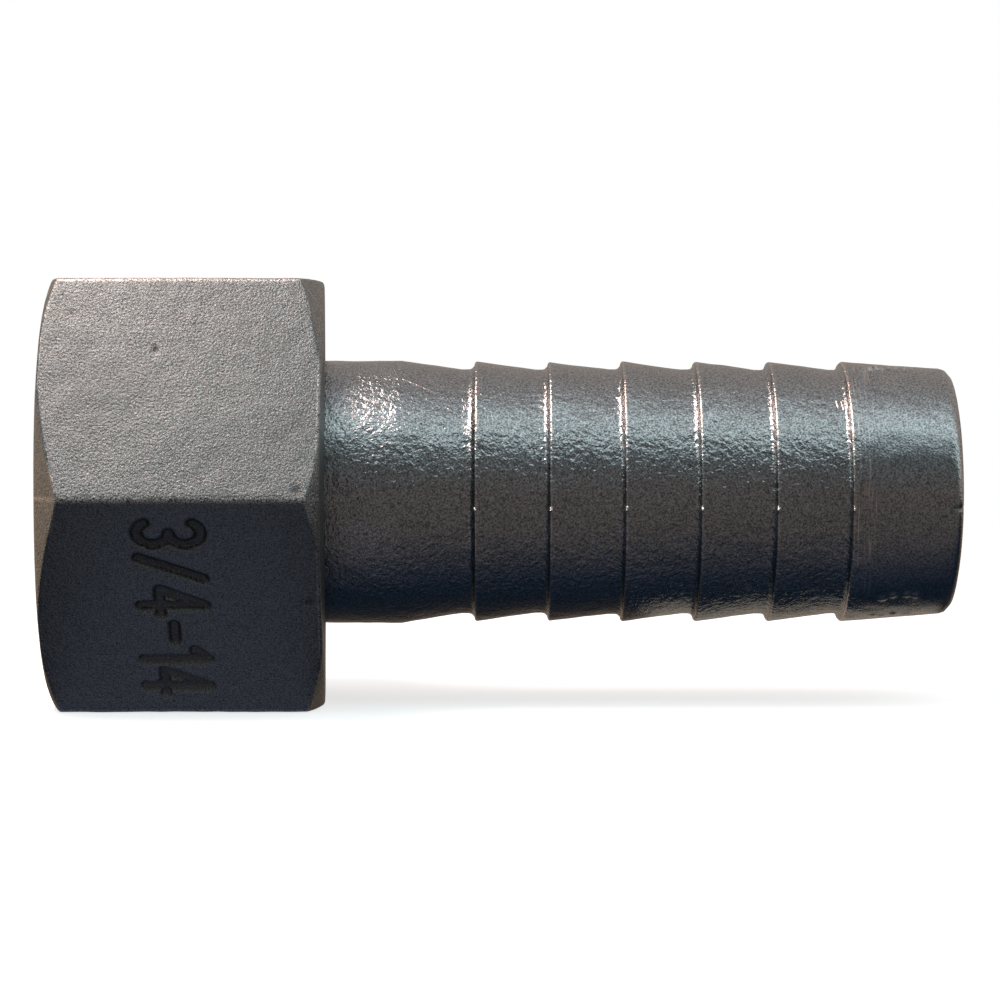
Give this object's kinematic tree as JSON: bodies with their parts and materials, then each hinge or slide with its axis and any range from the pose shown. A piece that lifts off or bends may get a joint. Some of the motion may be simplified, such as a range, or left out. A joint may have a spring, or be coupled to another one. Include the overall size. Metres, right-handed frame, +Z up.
{
  "type": "swivel hose shank",
  "caption": "Barbed hose tail with a bore through it, a loose hexagon nut with a female straight pipe thread, and a flat seat washer.",
  "frame": {"origin": "centre of the shank's sealing face, on the bore's axis, inside the nut", "axes": "+X along the bore towards the hose end, +Z up with one flat of the hexagon facing down"},
  "size_m": [0.0705, 0.0384, 0.0334],
  "materials": {
    "cast_stainless": "investment cast stainless steel, tumbled, with a fine orange-peel skin",
    "nut_stainless": "investment cast stainless steel, blasted, with a fine even grain",
    "washer_rubber": "matt black moulded rubber"
  },
  "bodies": {
    "shank": {"hose_shank": "cast_stainless"},
    "washer": {"seat_washer": "washer_rubber"},
    "nut": {"swivel_nut": "nut_stainless"}
  },
  "joints": [
    {"name": "nut_float", "type": "slide", "parent": "shank", "child": "washer", "axis": [1, 0, 0], "range_m": [0, 0.0005]},
    {"name": "nut_spin", "type": "hinge", "parent": "washer", "child": "nut", "pos_m": [0, 0, 0], "axis": [1, 0, 0], "continuous": true}
  ]
}
